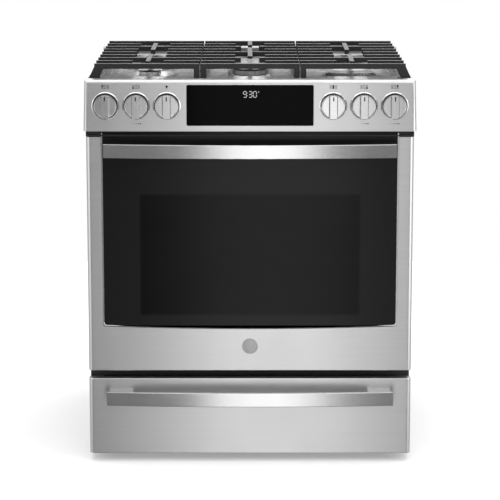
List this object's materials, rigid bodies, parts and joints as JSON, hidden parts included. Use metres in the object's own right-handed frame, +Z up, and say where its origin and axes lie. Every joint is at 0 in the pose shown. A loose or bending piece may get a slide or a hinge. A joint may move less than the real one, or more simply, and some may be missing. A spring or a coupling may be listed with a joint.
{
  "type": "gas range",
  "caption": "Slide-in style gas range with front knobs, a glass display, continuous grates over sealed burners, a drop-down oven door and a storage drawer.",
  "frame": {"origin": "on the floor, under the middle of the whole object's box, handles included", "axes": "+Z up, +X to the right as someone facing the range sees it, the oven door and knobs face -Y"},
  "size_m": [0.767, 0.77, 0.94],
  "materials": {
    "stainless_steel": "brushed stainless steel with a fine left-to-right grain",
    "handle_steel": "satin stainless ribbon handle",
    "knob_metal": "brushed knob metal",
    "badge_metal": "polished, plain",
    "cabinet_paint": "dark satin paint",
    "galvanised_sheet": "galvanised sheet",
    "frame_steel": "dark heat-proof finish",
    "oven_enamel": "dark blue-grey speckled porcelain enamel",
    "black_glass": "opaque black glass",
    "window_glass": "tinted heat-resistant glass",
    "cast_iron": "matt black enamelled cast iron",
    "burner_aluminium": "cast aluminium",
    "valve_brass": "turned brass",
    "foot_rubber": "black, matt",
    "gasket_fibre": "woven heat-proof gasket",
    "rack_chrome": "bright wire",
    "lamp_glass": "clear ribbed glass"
  },
  "bodies": {
    "cabinet": {"base_pan": "galvanised_sheet", "foot_front_left": "foot_rubber", "foot_front_right": "foot_rubber", "foot_rear_left": "foot_rubber", "foot_rear_right": "foot_rubber", "side_panel_left": "cabinet_paint", "side_panel_right": "cabinet_paint", "back_panel": "galvanised_sheet", "power_cord_gland": "foot_rubber", "front_frame": "frame_steel", "door_vent_strip": "cabinet_paint", "oven_liner": "oven_enamel", "oven_door_seal": "gasket_fibre", "bake_burner": "frame_steel", "broil_burner": "frame_steel", "oven_lamp_lens": "lamp_glass", "drawer_rail_left": "galvanised_sheet", "drawer_rail_right": "galvanised_sheet", "control_fascia": "stainless_steel", "display_glass": "black_glass", "gas_manifold": "burner_aluminium", "cooktop_pan": "stainless_steel", "rear_vent_trim": "stainless_steel", "burner_base_rear_left": "burner_aluminium", "burner_base_front_left": "burner_aluminium", "burner_base_front_right": "burner_aluminium", "burner_base_rear_right": "burner_aluminium", "burner_base_centre": "burner_aluminium", "burner_cap_rear_left": "cast_iron", "burner_cap_front_left": "cast_iron", "burner_cap_front_right": "cast_iron", "burner_cap_rear_right": "cast_iron", "burner_cap_centre": "cast_iron"},
    "oven_door": {"door_skin": "stainless_steel", "door_glass": "black_glass", "door_liner": "oven_enamel", "door_window": "window_glass", "door_badge": "badge_metal", "door_handle": "handle_steel", "hinge_arm_left": "frame_steel", "hinge_arm_right": "frame_steel"},
    "storage_drawer": {"drawer_front": "stainless_steel", "drawer_box": "galvanised_sheet", "drawer_handle": "handle_steel"},
    "rack_lower": {"rack_lower": "rack_chrome"},
    "rack_upper": {"rack_upper": "rack_chrome"},
    "grate_left": {"grate_left": "cast_iron"},
    "grate_centre": {"grate_centre": "cast_iron"},
    "grate_right": {"grate_right": "cast_iron"},
    "sleeve_rear_left": {"valve_sleeve_rear_left": "valve_brass"},
    "knob_rear_left": {"knob_rear_left": "knob_metal"},
    "sleeve_front_left": {"valve_sleeve_front_left": "valve_brass"},
    "knob_front_left": {"knob_front_left": "knob_metal"},
    "sleeve_centre": {"valve_sleeve_centre": "valve_brass"},
    "knob_centre": {"knob_centre": "knob_metal"},
    "sleeve_front_right": {"valve_sleeve_front_right": "valve_brass"},
    "knob_front_right": {"knob_front_right": "knob_metal"},
    "sleeve_rear_right": {"valve_sleeve_rear_right": "valve_brass"},
    "knob_rear_right": {"knob_rear_right": "knob_metal"},
    "knob_oven_light": {"knob_oven_light": "knob_metal"}
  },
  "joints": [
    {"name": "door_hinge", "type": "hinge", "parent": "cabinet", "child": "oven_door", "pos_m": [0, -0.29, 0.247], "axis": [1, 0, 0], "range_deg": [0, 90], "stiffness_Nm_per_rad": 15, "springref_deg": -17.19},
    {"name": "drawer_slide", "type": "slide", "parent": "cabinet", "child": "storage_drawer", "axis": [0, -1, 0], "range_m": [0, 0.38]},
    {"name": "rack_lower_slide", "type": "slide", "parent": "cabinet", "child": "rack_lower", "axis": [0, -1, 0], "range_m": [0, 0.02]},
    {"name": "rack_upper_slide", "type": "slide", "parent": "cabinet", "child": "rack_upper", "axis": [0, -1, 0], "range_m": [0, 0.02]},
    {"name": "grate_left_lift", "type": "slide", "parent": "cabinet", "child": "grate_left", "axis": [0, 0, 1], "range_m": [0, 0.15]},
    {"name": "grate_centre_lift", "type": "slide", "parent": "cabinet", "child": "grate_centre", "axis": [0, 0, 1], "range_m": [0, 0.15]},
    {"name": "grate_right_lift", "type": "slide", "parent": "cabinet", "child": "grate_right", "axis": [0, 0, 1], "range_m": [0, 0.15]},
    {"name": "push_rear_left", "type": "slide", "parent": "cabinet", "child": "sleeve_rear_left", "axis": [0, 1, 0], "range_m": [0, 0.004], "stiffness_N_per_m": 700, "springref_m": -0.004},
    {"name": "turn_rear_left", "type": "hinge", "parent": "sleeve_rear_left", "child": "knob_rear_left", "pos_m": [-0.332, -0.3496, 0.852], "axis": [0, -1, 0], "range_deg": [0, 270]},
    {"name": "push_front_left", "type": "slide", "parent": "cabinet", "child": "sleeve_front_left", "axis": [0, 1, 0], "range_m": [0, 0.004], "stiffness_N_per_m": 700, "springref_m": -0.004},
    {"name": "turn_front_left", "type": "hinge", "parent": "sleeve_front_left", "child": "knob_front_left", "pos_m": [-0.2615, -0.3496, 0.852], "axis": [0, -1, 0], "range_deg": [0, 270]},
    {"name": "push_centre", "type": "slide", "parent": "cabinet", "child": "sleeve_centre", "axis": [0, 1, 0], "range_m": [0, 0.004], "stiffness_N_per_m": 700, "springref_m": -0.004},
    {"name": "turn_centre", "type": "hinge", "parent": "sleeve_centre", "child": "knob_centre", "pos_m": [0.191, -0.3496, 0.852], "axis": [0, -1, 0], "range_deg": [0, 270]},
    {"name": "push_front_right", "type": "slide", "parent": "cabinet", "child": "sleeve_front_right", "axis": [0, 1, 0], "range_m": [0, 0.004], "stiffness_N_per_m": 700, "springref_m": -0.004},
    {"name": "turn_front_right", "type": "hinge", "parent": "sleeve_front_right", "child": "knob_front_right", "pos_m": [0.2615, -0.3496, 0.852], "axis": [0, -1, 0], "range_deg": [0, 270]},
    {"name": "push_rear_right", "type": "slide", "parent": "cabinet", "child": "sleeve_rear_right", "axis": [0, 1, 0], "range_m": [0, 0.004], "stiffness_N_per_m": 700, "springref_m": -0.004},
    {"name": "turn_rear_right", "type": "hinge", "parent": "sleeve_rear_right", "child": "knob_rear_right", "pos_m": [0.332, -0.3496, 0.852], "axis": [0, -1, 0], "range_deg": [0, 270]},
    {"name": "turn_oven_light", "type": "hinge", "parent": "cabinet", "child": "knob_oven_light", "pos_m": [-0.191, -0.3496, 0.852], "axis": [0, -1, 0], "range_deg": [0, 90]}
  ]
}
